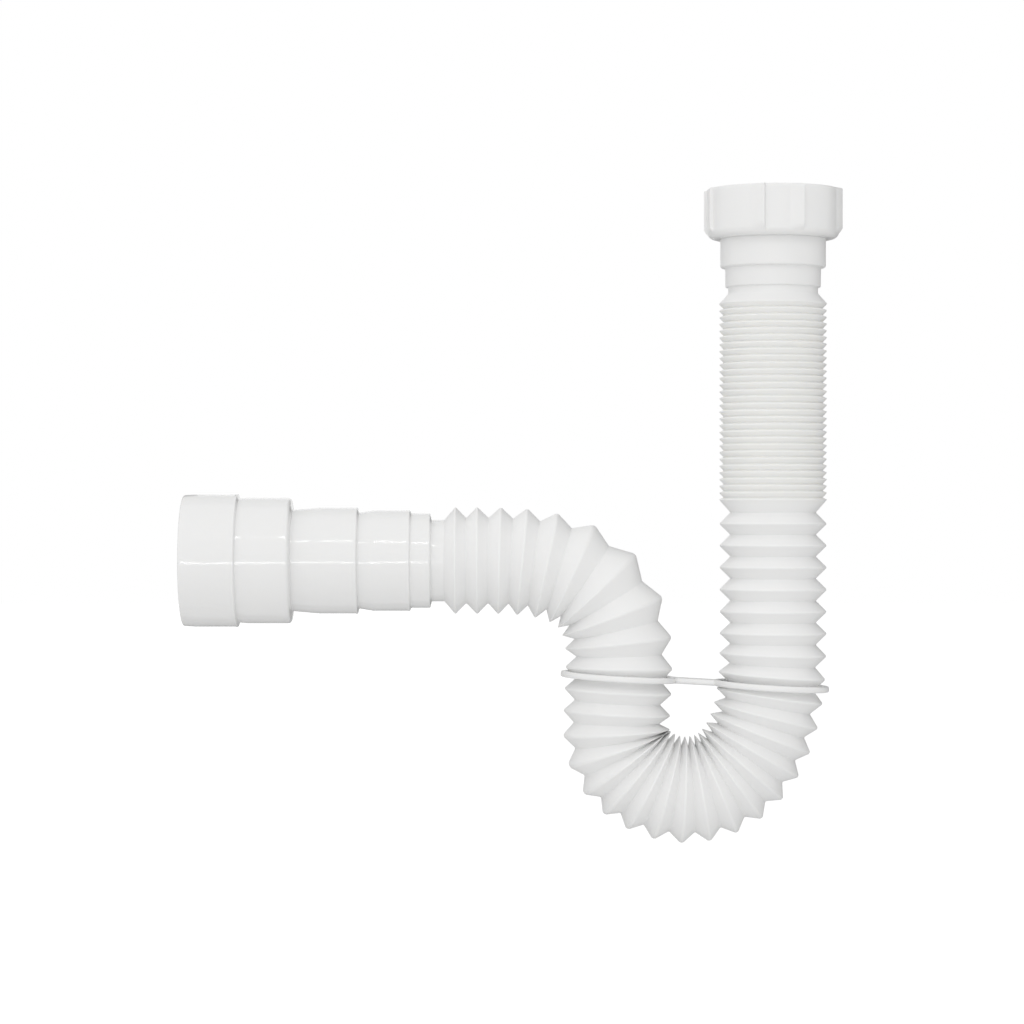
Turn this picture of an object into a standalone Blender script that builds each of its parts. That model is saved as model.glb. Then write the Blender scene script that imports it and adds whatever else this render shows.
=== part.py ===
"""Flexible sink trap: a pleated hose moulded in one piece, bent into a U, with a ribbed coupling nut.

Metres, +Z up. The origin is the centre of the coupling nut's top rim, the inlet points up,
the hose runs down, round the U and out along -X to its stepped outlet cuff.
"""
import math

import bpy
import bmesh

# Clearances between neighbouring pieces
SEAT_GAP = 0.0003

# Coupling nut, for a sink waste with a G 1 1/2 thread
NUT_THREAD_RADIUS = 0.0224
NUT_WALL = 0.0032
NUT_HEIGHT = 0.0193
NUT_LIP_THICKNESS = 0.0027
NUT_RELIEF = 0.0006
NUT_FOOT_ROUND = 0.0036
NUT_EDGE = 0.0005
NUT_MOUTH_CHAMFER = 0.0009
RIB_HEIGHT = 0.0014
RIB_LENGTH = 0.0152
RIB_TOP_DROP = 0.0004
RIB_WIDTH_DEG = 12.0
RIB_SHELF = 0.0003
RIB_ROOT = 0.0008
RIB_PAIRS = 4
RIB_FIRST_DEG = -97.5
RIB_PAIR_SPREAD_DEG = 32.5

# Sealing washer inside the nut
WASHER_THICKNESS = 0.0030
WASHER_WIDTH = 0.0059
WASHER_EDGE = 0.0004

# Inlet end of the hose: a flange held by the nut's lip, a collar and a neck of two steps
FLANGE_THICKNESS = 0.0026
FLANGE_LEDGE = 0.0017
COLLAR_DROP = 0.0112
COLLAR_ROUND = 0.0008
NECK_STEP = 0.00186
NECK_TAPER = 0.0001
NECK_LENGTH = 0.0075
WAIST_STEP = 0.00116
WAIST_LENGTH = 0.0025
INLET_WALL = 0.0014

# Nested pleats: pushed shut, each one tucked into the next
NESTED_PLEATS = 30
NESTED_PITCH = 0.002613
NESTED_STANDOUT = 0.0003
NESTED_NOTCH = 0.0022
NESTED_NOTCH_PLACE = 0.86
NESTED_LEAD = 0.0039
NESTED_TAIL = 0.0050

# Open pleats: pulled out, round the U and the bend to the outlet
OPEN_PLEATS = 35
CREST_RADIUS = 0.0206
PLEAT_DEPTH = 0.0041
PLEAT_WALL = 0.0009
OPEN_LEAD = 0.0044

# Pleat number and the distance to the next crest along the centre line
PLEAT_PITCHES = (
    (1, 0.00843),
    (4, 0.00857),
    (8, 0.00809),
    (10, 0.00736),
    (12, 0.00703),
    (14, 0.00652),
    (17, 0.00625),
    (20, 0.00625),
    (23.5, 0.00670),
    (25, 0.00874),
    (27, 0.01011),
    (29, 0.01143),
    (32, 0.00977),
    (35, 0.00782),
)

# The two bends: the pleats where each begins, is at its full bend, eases and ends, and its turn
U_BEND_PLEATS = (5.55, 14.6, 23.4, 24.3)
U_BEND_TURN_DEG = 183.7
OUTLET_BEND_PLEATS = (25.1, 28.8, 29.2, 33.2)
OUTLET_HEADING_DEG = 90.0

# Outlet cuff, cut to suit the drain pipe: each step's radius, length, lead-in and lead-in length
CUFF_NECK_RADIUS = 0.01595
CUFF_NECK_LENGTH = 0.0055
CUFF_SHOULDER_RADIUS = 0.01845
CUFF_SHOULDER_LENGTH = 0.0079
CUFF_STEPS = (
    (0.0196, 0.0202, 0.0009, 0.0060),
    (0.02065, 0.0257, 0.0009, 0.0110),
    (0.0245, 0.0207, 0.0003, 0.0040),
    (0.0258, 0.0211, 0.0003, 0.0050),
)
CUFF_EDGE = 0.0005
CUFF_WALL = 0.0015

# U-bend clip: two flat rings joined by a bar, in one valley of each leg
CLIP_INLET_PLEAT = 8.5
CLIP_OUTLET_PLEAT = 25.5
CLIP_THICKNESS = 0.0022
CLIP_BITE = 0.0008
CLIP_RING_WIDTH = 0.0027
CLIP_BAR_WIDTH = 0.0085

# How finely the round shapes are divided
HOSE_SEGMENTS = 24
NUT_SEGMENTS = 60
WASHER_SEGMENTS = 36
CLIP_ARC_STEPS = 40
ROUND_STEPS = 4
ROUTE_STEPS_PER_PLEAT = 16

# Radii that follow from the thread and the pleats
NUT_RADIUS = NUT_THREAD_RADIUS + NUT_WALL
FLANGE_RADIUS = NUT_THREAD_RADIUS - SEAT_GAP
WASHER_RADIUS = FLANGE_RADIUS
COLLAR_RADIUS = FLANGE_RADIUS - FLANGE_LEDGE
NECK_RADIUS = COLLAR_RADIUS - NECK_STEP
WAIST_RADIUS = NECK_RADIUS - WAIST_STEP
NESTED_RADIUS = CREST_RADIUS + NESTED_STANDOUT
VALLEY_RADIUS = CREST_RADIUS - PLEAT_DEPTH
BORE_RADIUS = VALLEY_RADIUS - PLEAT_WALL
CLIP_BORE_RADIUS = CREST_RADIUS - CLIP_BITE

# Places that follow from the sizes above, as depths below the nut's top rim
LIP_TOP_DEPTH = NUT_HEIGHT - NUT_LIP_THICKNESS
FLANGE_FOOT_DEPTH = LIP_TOP_DEPTH - SEAT_GAP
FLANGE_TOP_DEPTH = FLANGE_FOOT_DEPTH - FLANGE_THICKNESS
WASHER_FOOT_DEPTH = FLANGE_TOP_DEPTH - SEAT_GAP
WASHER_TOP_DEPTH = WASHER_FOOT_DEPTH - WASHER_THICKNESS
COLLAR_FOOT_DEPTH = NUT_HEIGHT + COLLAR_DROP
NECK_FOOT_DEPTH = COLLAR_FOOT_DEPTH + NECK_LENGTH
WAIST_FOOT_DEPTH = NECK_FOOT_DEPTH + WAIST_LENGTH
NESTED_TOP_DEPTH = WAIST_FOOT_DEPTH + NESTED_LEAD
NESTED_FOOT_DEPTH = NESTED_TOP_DEPTH + (NESTED_PLEATS - 1) * NESTED_PITCH
FIRST_VALLEY_DEPTH = NESTED_FOOT_DEPTH + NESTED_TAIL
OPEN_TOP_DEPTH = FIRST_VALLEY_DEPTH + OPEN_LEAD

# Finishes: base colour, roughness
WHITE_PLASTIC = ("white_plastic", (0.83, 0.83, 0.82, 1.0), 0.38)
NUT_PLASTIC = ("nut_plastic", (0.84, 0.84, 0.835, 1.0), 0.32)
CLIP_PLASTIC = ("clip_plastic", (0.83, 0.83, 0.82, 1.0), 0.35)
WASHER_RUBBER = ("washer_rubber", (0.035, 0.035, 0.038, 1.0), 0.7)


def clear_scene():
    """Remove every object that the file opens with."""
    for existing in list(bpy.data.objects):
        bpy.data.objects.remove(existing, do_unlink=True)


def new_collection(name):
    collection = bpy.data.collections.new(name)
    bpy.context.scene.collection.children.link(collection)
    return collection


def plastic(finish):
    """A Principled material from a finish's name, base colour and roughness."""
    name, colour, roughness = finish
    material = bpy.data.materials.new(name)
    material.use_nodes = True
    shader = material.node_tree.nodes["Principled BSDF"]
    shader.inputs["Base Color"].default_value = colour
    shader.inputs["Roughness"].default_value = roughness
    shader.inputs["Metallic"].default_value = 0.0
    material.diffuse_color = colour
    return material


def between(value, stations):
    """Read a list of (position, amount) stations, straight between them."""
    if value <= stations[0][0]:
        return stations[0][1]
    for (start, low), (end, high) in zip(stations, stations[1:]):
        if value <= end:
            return low + (high - low) * (value - start) / (end - start)
    return stations[-1][1]


def bend_rate(pleat, span, turn):
    """Turn in degrees for each pleat: it grows to its full rate, holds, and eases off again."""
    start, full, ease, end = span
    full_rate = 2.0 * turn / (end + ease - full - start)
    return full_rate * between(pleat, ((start, 0.0), (full, 1.0), (ease, 1.0), (end, 0.0)))


def heading_rate(pleat):
    outlet_turn = OUTLET_HEADING_DEG - U_BEND_TURN_DEG
    return (bend_rate(pleat, U_BEND_PLEATS, U_BEND_TURN_DEG)
            + bend_rate(pleat, OUTLET_BEND_PLEATS, outlet_turn))


def hose_route():
    """Walk the centre line: (pleat, distance, x, z, heading), from the first open crest to the cuff."""
    step = 1.0 / ROUTE_STEPS_PER_PLEAT
    pleat = 1.0
    distance = OPEN_TOP_DEPTH
    x = 0.0
    z = -OPEN_TOP_DEPTH
    heading = 0.0
    stops = [(pleat, distance, x, z, heading)]
    last_pleat = OPEN_PLEATS + 0.5
    for _ in range(round((last_pleat - 1.0) * ROUTE_STEPS_PER_PLEAT)):
        middle = pleat + 0.5 * step
        travel = between(middle, PLEAT_PITCHES) * step
        turn = heading_rate(middle) * step
        along = math.radians(heading + 0.5 * turn)
        x -= math.sin(along) * travel
        z -= math.cos(along) * travel
        heading += turn
        pleat += step
        distance += travel
        stops.append((pleat, distance, x, z, heading))
    return stops


ROUTE = hose_route()
CUFF_START = ROUTE[-1][1]


def route_stop(pleat):
    """The stop on the centre line at a pleat number."""
    return ROUTE[round((pleat - 1.0) * ROUTE_STEPS_PER_PLEAT)]


def cuff_length():
    return CUFF_NECK_LENGTH + CUFF_SHOULDER_LENGTH + sum(step[1] for step in CUFF_STEPS)


def arc_corner(centre, radius, start_deg, end_deg, steps=ROUND_STEPS):
    """Points of a rounded corner in a profile."""
    points = []
    for i in range(steps + 1):
        angle = math.radians(start_deg + (end_deg - start_deg) * i / steps)
        points.append((centre[0] + radius * math.cos(angle), centre[1] + radius * math.sin(angle)))
    return points


def turned(name, profile, segments, collection, material):
    """A closed (radius, height) profile, turned about Z with a Screw modifier."""
    mesh = bpy.data.meshes.new(name)
    shape = bmesh.new()
    corners = [shape.verts.new((radius, 0.0, height)) for radius, height in profile]
    for first, second in zip(corners, corners[1:] + corners[:1]):
        shape.edges.new((first, second))
    shape.to_mesh(mesh)
    shape.free()
    piece = bpy.data.objects.new(name, mesh)
    collection.objects.link(piece)
    mesh.materials.append(material)
    screw = piece.modifiers.new("turn", "SCREW")
    screw.axis = "Z"
    screw.angle = math.tau
    screw.steps = segments
    screw.render_steps = segments
    screw.use_merge_vertices = True
    screw.merge_threshold = 0.00001
    screw.use_smooth_shade = True
    return piece


def inlet_profile():
    """Outer side of the flange, collar and neck, down to the first nested pleat."""
    collar_edge = (COLLAR_RADIUS - COLLAR_ROUND, COLLAR_ROUND - COLLAR_FOOT_DEPTH)
    return [
        (FLANGE_RADIUS - WASHER_EDGE, -FLANGE_TOP_DEPTH),
        (FLANGE_RADIUS, -FLANGE_TOP_DEPTH - WASHER_EDGE),
        (FLANGE_RADIUS, -FLANGE_FOOT_DEPTH),
        (COLLAR_RADIUS, -FLANGE_FOOT_DEPTH),
        *arc_corner(collar_edge, COLLAR_ROUND, 0.0, -90.0, 2),
        (NECK_RADIUS, -COLLAR_FOOT_DEPTH),
        (NECK_RADIUS - NECK_TAPER, -NECK_FOOT_DEPTH),
        (WAIST_RADIUS, -NECK_FOOT_DEPTH),
        (WAIST_RADIUS, -WAIST_FOOT_DEPTH),
    ]


def nested_profile():
    """Outer side of the nested pleats: each crest overhangs the notch above the next."""
    points = []
    for pleat in range(NESTED_PLEATS):
        crest = NESTED_TOP_DEPTH + pleat * NESTED_PITCH
        points.append((NESTED_RADIUS, -crest))
        if pleat < NESTED_PLEATS - 1:
            notch = crest + NESTED_NOTCH_PLACE * NESTED_PITCH
            points.append((NESTED_RADIUS - NESTED_NOTCH, -notch))
    return points


def open_profile(crest_radius, valley_radius):
    """Crest and valley of each open pleat, as distances along the hose."""
    points = [(valley_radius, -FIRST_VALLEY_DEPTH)]
    for pleat in range(1, OPEN_PLEATS + 1):
        points.append((crest_radius, -route_stop(pleat)[1]))
        if pleat < OPEN_PLEATS:
            points.append((valley_radius, -route_stop(pleat + 0.5)[1]))
    return points


def cuff_profile():
    """Outer side of the outlet cuff: neck, shoulder and four steps with their lead-ins."""
    place = CUFF_START
    points = [(CUFF_NECK_RADIUS, -place)]
    place += CUFF_NECK_LENGTH
    points.append((CUFF_NECK_RADIUS, -place))
    points.append((CUFF_SHOULDER_RADIUS, -place))
    place += CUFF_SHOULDER_LENGTH
    points.append((CUFF_SHOULDER_RADIUS, -place))
    for radius, length, lead, lead_length in CUFF_STEPS:
        points.append((radius - CUFF_EDGE, -place))
        points.append((radius, -place - CUFF_EDGE))
        points.append((radius, -place - length + lead_length))
        points.append((radius - lead, -place - length))
        place += length
    return points


def cuff_bore():
    """Bore of the outlet cuff from its neck to its mouth: each step is seen again from inside."""
    sections = [
        (CUFF_NECK_RADIUS, CUFF_NECK_LENGTH, 0.0),
        (CUFF_SHOULDER_RADIUS, CUFF_SHOULDER_LENGTH, 0.0),
    ]
    sections += [(radius, length, lead) for radius, length, lead, _ in CUFF_STEPS]
    place = CUFF_START
    start = place
    points = []
    for radius, length, lead in sections:
        inside = radius - lead - CUFF_WALL
        place += length
        points.append((inside, -start))
        start = place + CUFF_WALL
        points.append((inside, -start))
    mouth_radius = points.pop()[0]
    points.append((mouth_radius, -place))
    return points


def hose_profile():
    """The hose's whole wall as one closed loop: down its outer side, then back up its bore."""
    outer = inlet_profile() + nested_profile()
    outer += open_profile(CREST_RADIUS, VALLEY_RADIUS) + cuff_profile()
    collar_bore = COLLAR_RADIUS - INLET_WALL
    neck_bore = NECK_RADIUS - NECK_TAPER - INLET_WALL
    waist_bore = WAIST_RADIUS - INLET_WALL
    bore = [
        (collar_bore, -FLANGE_TOP_DEPTH),
        (collar_bore, INLET_WALL - COLLAR_FOOT_DEPTH),
        (neck_bore, INLET_WALL - COLLAR_FOOT_DEPTH),
        (neck_bore, INLET_WALL - NECK_FOOT_DEPTH),
        (waist_bore, INLET_WALL - NECK_FOOT_DEPTH),
        (waist_bore, -NESTED_TOP_DEPTH),
        (BORE_RADIUS, -NESTED_FOOT_DEPTH),
    ]
    bore += open_profile(CREST_RADIUS - PLEAT_WALL, BORE_RADIUS)
    bore += cuff_bore()
    return outer + bore[::-1]


def route_guide(collection):
    """The hose's centre line as a curve, from the nut's rim to the outlet mouth."""
    _, distance, x, z, heading = ROUTE[-1]
    reach = cuff_length()
    along = math.radians(heading)
    mouth = (x - math.sin(along) * reach, z - math.cos(along) * reach)
    stations = [(0.0, 0.0)] + [(stop[2], stop[3]) for stop in ROUTE] + [mouth]
    curve = bpy.data.curves.new("hose_route", "CURVE")
    curve.dimensions = "3D"
    curve.twist_mode = "MINIMUM"
    spline = curve.splines.new("POLY")
    spline.points.add(len(stations) - 1)
    for point, (across, height) in zip(spline.points, stations):
        point.co = (across, 0.0, height, 1.0)
    guide = bpy.data.objects.new("hose_route", curve)
    guide.hide_render = True
    guide.display_type = "WIRE"
    collection.objects.link(guide)
    return guide


def corrugated_hose(parts, guides):
    """The moulded hose: its wall is turned straight, then bent along the route."""
    hose = turned("corrugated_hose", hose_profile(), HOSE_SEGMENTS, parts, plastic(WHITE_PLASTIC))
    bend = hose.modifiers.new("bend", "CURVE")
    bend.object = route_guide(guides)
    bend.deform_axis = "NEG_Z"
    return hose


def nut_profile():
    """The nut's wall: outer side, rounded foot, lip, relief and thread bore."""
    foot = (NUT_RADIUS - NUT_FOOT_ROUND, NUT_FOOT_ROUND - NUT_HEIGHT)
    lip_radius = COLLAR_RADIUS + SEAT_GAP
    relief_radius = NUT_THREAD_RADIUS + NUT_RELIEF
    return [
        (NUT_RADIUS - NUT_EDGE, 0.0),
        (NUT_RADIUS, -NUT_EDGE),
        *arc_corner(foot, NUT_FOOT_ROUND, 0.0, -90.0),
        (lip_radius, -NUT_HEIGHT),
        (lip_radius, -LIP_TOP_DEPTH),
        (relief_radius, -LIP_TOP_DEPTH),
        (relief_radius, -WASHER_TOP_DEPTH),
        (NUT_THREAD_RADIUS, -WASHER_TOP_DEPTH + NUT_RELIEF),
        (NUT_THREAD_RADIUS, -NUT_MOUTH_CHAMFER),
        (NUT_THREAD_RADIUS + NUT_MOUTH_CHAMFER, 0.0),
    ]


def rib_outline(step_angle_deg):
    """One grip rib seen from above: a ramp that climbs to a sharp step."""
    points = [(NUT_RADIUS - RIB_ROOT, step_angle_deg - RIB_WIDTH_DEG)]
    for i in range(ROUND_STEPS + 1):
        share = i / ROUND_STEPS
        climb = RIB_SHELF + (RIB_HEIGHT - RIB_SHELF) * share
        points.append((NUT_RADIUS + climb, step_angle_deg - RIB_WIDTH_DEG * (1.0 - share)))
    points.append((NUT_RADIUS - RIB_ROOT, step_angle_deg))
    return [(radius * math.cos(math.radians(angle)), radius * math.sin(math.radians(angle)))
            for radius, angle in points]


def flat_shape(name, outlines, thickness, collection):
    """Closed outlines filled and given their thickness, as a mesh object centred on z = 0."""
    curve = bpy.data.curves.new(name, "CURVE")
    curve.dimensions = "2D"
    curve.fill_mode = "BOTH"
    curve.extrude = 0.5 * thickness
    for outline in outlines:
        spline = curve.splines.new("POLY")
        spline.points.add(len(outline) - 1)
        spline.use_cyclic_u = True
        for point, (x, y) in zip(spline.points, outline):
            point.co = (x, y, 0.0, 1.0)
    drawn = bpy.data.objects.new(name + "_outline", curve)
    collection.objects.link(drawn)
    bpy.context.view_layer.update()
    evaluated = drawn.evaluated_get(bpy.context.evaluated_depsgraph_get())
    mesh = bpy.data.meshes.new_from_object(evaluated)
    mesh.name = name
    shape = bmesh.new()
    shape.from_mesh(mesh)
    bmesh.ops.remove_doubles(shape, verts=shape.verts, dist=0.000005)
    bmesh.ops.recalc_face_normals(shape, faces=shape.faces)
    shape.to_mesh(mesh)
    shape.free()
    bpy.data.objects.remove(drawn, do_unlink=True)
    piece = bpy.data.objects.new(name, mesh)
    collection.objects.link(piece)
    return piece


def inlet_nut(parts, guides):
    """The coupling nut: a turned cup with pairs of grip ribs joined to its wall."""
    nut = turned("inlet_nut", nut_profile(), NUT_SEGMENTS, parts, plastic(NUT_PLASTIC))
    outlines = []
    for pair in range(RIB_PAIRS):
        first = RIB_FIRST_DEG + 360.0 * pair / RIB_PAIRS
        outlines.append(rib_outline(first))
        outlines.append(rib_outline(first + RIB_PAIR_SPREAD_DEG))
    ribs = flat_shape("nut_ribs", outlines, RIB_LENGTH, guides)
    ribs.location.z = -RIB_TOP_DROP - 0.5 * RIB_LENGTH
    ribs.hide_render = True
    ribs.display_type = "WIRE"
    join = nut.modifiers.new("ribs", "BOOLEAN")
    join.operation = "UNION"
    join.object = ribs
    return nut


def inlet_washer(parts):
    """The flat seal between the hose's flange and the sink waste."""
    profile = [
        (WASHER_RADIUS - WASHER_EDGE, -WASHER_TOP_DEPTH),
        (WASHER_RADIUS, -WASHER_TOP_DEPTH - WASHER_EDGE),
        (WASHER_RADIUS, -WASHER_FOOT_DEPTH + WASHER_EDGE),
        (WASHER_RADIUS - WASHER_EDGE, -WASHER_FOOT_DEPTH),
        (WASHER_RADIUS - WASHER_WIDTH, -WASHER_FOOT_DEPTH),
        (WASHER_RADIUS - WASHER_WIDTH, -WASHER_TOP_DEPTH),
    ]
    return turned("inlet_washer", profile, WASHER_SEGMENTS, parts, plastic(WASHER_RUBBER))


def clip_outlines(span):
    """The clip seen from above: one outer edge round both rings and the bar, and two bores."""
    outer_radius = CLIP_BORE_RADIUS + CLIP_RING_WIDTH
    bar_angle = math.degrees(math.asin(0.5 * CLIP_BAR_WIDTH / outer_radius))
    left = (-0.5 * span, 0.0)
    right = (0.5 * span, 0.0)
    edge = arc_corner(left, outer_radius, bar_angle, 360.0 - bar_angle, CLIP_ARC_STEPS)
    edge += arc_corner(right, outer_radius, bar_angle - 180.0, 180.0 - bar_angle, CLIP_ARC_STEPS)
    bores = [arc_corner(centre, CLIP_BORE_RADIUS, 0.0, 360.0, CLIP_ARC_STEPS)[:-1]
             for centre in (left, right)]
    return [edge] + bores


def u_bend_clip(parts):
    """The flat clip that holds the U: it lies in one valley of each leg."""
    _, _, right_x, right_z, _ = route_stop(CLIP_INLET_PLEAT)
    _, _, left_x, left_z, _ = route_stop(CLIP_OUTLET_PLEAT)
    span = math.hypot(right_x - left_x, right_z - left_z)
    clip = flat_shape("u_bend_clip", clip_outlines(span), CLIP_THICKNESS, parts)
    clip.data.materials.append(plastic(CLIP_PLASTIC))
    clip.location = (0.5 * (left_x + right_x), 0.0, 0.5 * (left_z + right_z))
    clip.rotation_euler = (0.0, math.atan2(left_z - right_z, right_x - left_x), 0.0)
    return clip


def main():
    clear_scene()
    parts = new_collection("flexible_sink_trap")
    guides = new_collection("guides")
    corrugated_hose(parts, guides)
    inlet_nut(parts, guides)
    inlet_washer(parts)
    u_bend_clip(parts)


main()
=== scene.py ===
"""Flexible sink trap: the fine surface of its pleated hose, coupling nut, washer and clip.

Metres, +Z up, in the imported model's frame: the origin is the centre of the nut's top rim,
the hose runs down, round the U and out along -X to its stepped outlet cuff.
"""

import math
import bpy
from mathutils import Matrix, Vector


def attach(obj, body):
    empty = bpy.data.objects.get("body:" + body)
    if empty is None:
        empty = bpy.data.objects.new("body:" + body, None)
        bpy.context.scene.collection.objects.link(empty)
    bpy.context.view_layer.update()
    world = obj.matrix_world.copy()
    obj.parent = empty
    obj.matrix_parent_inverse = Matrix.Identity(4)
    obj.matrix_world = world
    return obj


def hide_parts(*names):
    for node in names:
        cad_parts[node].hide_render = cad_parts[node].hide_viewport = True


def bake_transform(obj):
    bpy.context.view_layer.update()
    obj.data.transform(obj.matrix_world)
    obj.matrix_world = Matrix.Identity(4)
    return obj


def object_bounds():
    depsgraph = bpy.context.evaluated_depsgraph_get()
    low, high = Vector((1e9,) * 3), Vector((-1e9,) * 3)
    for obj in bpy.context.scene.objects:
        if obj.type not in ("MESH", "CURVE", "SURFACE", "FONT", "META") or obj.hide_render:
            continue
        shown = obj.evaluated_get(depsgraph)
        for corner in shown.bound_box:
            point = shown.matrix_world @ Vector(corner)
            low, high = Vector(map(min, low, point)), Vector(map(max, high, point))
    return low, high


bl_info = {
    "name": "Flexible Sink Trap",
    "version": (1, 0, 0),
    "blender": (4, 5, 0),
    "location": "View3D > Sidebar > Sink Trap",
    "description": "Models a pleated sink trap with its coupling nut, washer and U-bend clip",
    "category": "Add Mesh",
}

import bmesh
import bpy
from bpy.props import FloatProperty, FloatVectorProperty, IntProperty, PointerProperty
from mathutils import Matrix, Vector

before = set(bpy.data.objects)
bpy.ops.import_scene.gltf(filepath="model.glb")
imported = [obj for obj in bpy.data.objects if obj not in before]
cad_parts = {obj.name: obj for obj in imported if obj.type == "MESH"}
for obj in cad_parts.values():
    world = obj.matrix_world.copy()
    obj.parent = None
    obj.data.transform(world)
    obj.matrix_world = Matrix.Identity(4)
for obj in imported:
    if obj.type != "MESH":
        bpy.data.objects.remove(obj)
CAD_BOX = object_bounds()

# Names of the finished pieces and of the attribute that keeps the hose's shape before it is bent
HOSE_NAME = "pleated_hose"
NUT_NAME = "ribbed_nut"
WASHER_NAME = "flat_washer"
CLIP_NAME = "bend_clip"
STRAIGHT_PLACE = "straight_place"

# Coupling nut and what it holds
SEAT_GAP = 0.0003
NUT_HEIGHT = 0.0193
NUT_WALL = 0.0032
NUT_THREAD_RADIUS = 0.0224
NUT_RELIEF = 0.0006
NUT_LIP_THICKNESS = 0.0027
NUT_FOOT_ROUND = 0.0030
NUT_FOOT_STEPS = 10
NUT_EDGE = 0.0006
THREAD_PITCH = 0.002309
THREAD_DEPTH = 0.00115
THREAD_START = 0.0012
THREAD_END = 0.0093
THREAD_FADE = 0.0012
THREAD_RINGS = 40
THREAD_FLANK_SLOPE = 2.4
THREAD_ROOT_FLAT = 0.7
NUT_WALL_RINGS = 8

# Grip ribs: pairs of sawteeth round the nut
RIB_LENGTH = 0.0178
RIB_END_FADE = 0.0023
RIB_WIDTH_DEG = 12.0
RIB_PAIRS = 4
RIB_FIRST_DEG = -101.8
RIB_PAIR_SPREAD_DEG = 33.4
RIB_RAMP_POWER = 1.15
RIB_STEP_SLACK = 0.2

# Washer
WASHER_THICKNESS = 0.0030
WASHER_WIDTH = 0.0059
WASHER_EDGE = 0.0005

# Inlet end of the hose
FLANGE_THICKNESS = 0.0026
FLANGE_LEDGE = 0.0017
COLLAR_DROP = 0.0112
COLLAR_ROUND = 0.0010
NECK_STEP = 0.00186
NECK_TAPER = 0.0001
NECK_LENGTH = 0.0075
WAIST_STEP = 0.00116
WAIST_LENGTH = 0.0025
INLET_WALL = 0.0014
SMALL_FILLET = 0.0004

# Nested pleats, pushed shut: each tooth slants in to a notch above the next
NESTED_PLEATS = 30
NESTED_PITCH = 0.002613
NESTED_LEAD = 0.0039
NESTED_TAIL = 0.0050
NESTED_STANDOUT = 0.0003
NESTED_NOTCH = 0.0018
NESTED_NOTCH_PLACE = 0.72
NESTED_TIP_ROUND = 0.00022
NESTED_NOTCH_ROUND = 0.00015
NESTED_INNER_WAVE = 0.0004

# Open pleats
OPEN_PLEATS = 35
OPEN_LEAD = 0.0044

# Pleat number and the distance to the next crest, fitted to the pleats' tips in the photograph
PLEAT_PITCHES = (
    (1, 0.00837),
    (4, 0.00862),
    (8, 0.00805),
    (12, 0.00691),
    (14, 0.00637),
    (19, 0.00653),
    (22, 0.00556),
    (24, 0.00817),
    (27, 0.00998),
    (29, 0.01219),
    (32, 0.00887),
    (35, 0.00839),
)

# How far each crest is rounded, by pleat number
CREST_ROUNDS = (
    (12, 0.0006),
    (24, 0.0007),
    (27, 0.0009),
    (30, 0.0011),
    (32, 0.0008),
    (35, 0.0005),
)
VALLEY_ROUND = 0.0003

# Degrees that the hose turns at each pleat, fitted too: round the U, then back and out to the cuff
PLEAT_TURNS = (
    (5.5, 0.0),
    (9, 4.8),
    (14, 13.2),
    (20, 12.0),
    (22, 20.2),
    (24, 1.5),
    (26, -3.3),
    (29, -26.36),
    (31, -8.1),
    (34, 0.0),
)
ROUTE_STEPS_PER_PLEAT = 16

# Outlet cuff: each step's radius, length, lead-in, lead-in length, corner round and lip
CUFF_NECK_RADIUS = 0.0158
CUFF_NECK_LENGTH = 0.0055
CUFF_SHOULDER_RADIUS = 0.0183
CUFF_SHOULDER_LENGTH = 0.0079
CUFF_STEPS = (
    (0.01945, 0.0202, 0.0009, 0.0060, 0.0003, 0.0001),
    (0.0205, 0.0257, 0.0009, 0.0110, 0.0003, 0.0002),
    (0.0243, 0.0207, 0.0003, 0.0040, 0.0013, 0.0),
    (0.0256, 0.0211, 0.0003, 0.0050, 0.0003, 0.0002),
)
CUFF_LIP_LENGTH = 0.0009
CUFF_STEP_SLANT = 0.0005
CUFF_FLAT_MARGIN = 0.0008
CUFF_WALL = 0.0015
CUFF_RIM_ROUND = 0.0009

# U-bend clip: two flat rings joined by a bar, in one valley of each leg
CLIP_INLET_PLEAT = 8.5
CLIP_OUTLET_PLEAT = 25.6
CLIP_BITE = 0.0008
CLIP_RING_WIDTH = 0.0027
CLIP_BAR_WIDTH = 0.0085
CLIP_RIM_DEG = 60.0
CLIP_EDGE_STEPS = 4

# How shapes are made: the merge distance, the slack for a point on a wall, and the angle of a sharp edge
MERGE_DISTANCE = 0.000002
WALL_SLACK = 0.00001
SHARP_EDGE_DEG = 34.0
NEARLY_STRAIGHT_DEG = 87.0
LONGEST_SETBACK = 0.48

# Finishes: how plastic and rubber bend light, and the share and depth of the light that soaks in
PLASTIC_IOR = 1.49
RUBBER_IOR = 1.52
SCATTER_TINT = (1.0, 0.95, 0.85)
PLEAT_SCATTER = (0.08, 0.0010)
NESTED_SCATTER = (0.45, 0.0022)
MOULDED_SCATTER = (0.12, 0.0012)
TONE_DIP = 0.985
TONE_RANGE = (0.35, 0.65)
GLOSS_PATCH_SCALE = 90.0
TONE_CLOUD_SCALE = 28.0
SEAM_HEIGHT = 0.9

# Painted fill light where the pleats bunch inside the U, which lifts the shade between them: across the
# hose, and the pleats where it starts and ends
FILL_LIGHT_ACROSS = (0.001, -0.013)
FILL_LIGHT_START_PLEATS = (9, 12)
FILL_LIGHT_END_PLEATS = (23, 24.5)

# The photograph's view: its frame, its scale at the hose's axis and the origin's place in it
PHOTO_PIXELS = 1024
PHOTO_PIXELS_PER_METRE = 2580.0
PHOTO_ORIGIN = (773.0, 189.5)
SENSOR_WIDTH = 36.0

# Upright cards behind the object that only its reflections see and that shade its outlines:
# each one's left, right, foot, top and grey
CARD_DISTANCE = 1.0
UPRIGHT_CARDS = (
    ("right_card", 0.04, 2.7, -0.34, 1.9, 0.04),
    ("left_card", -2.8, -0.33, -0.34, 0.4, 0.34),
    ("high_card", -2.8, 0.04, 0.4, 1.9, 0.75),
)

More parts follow.
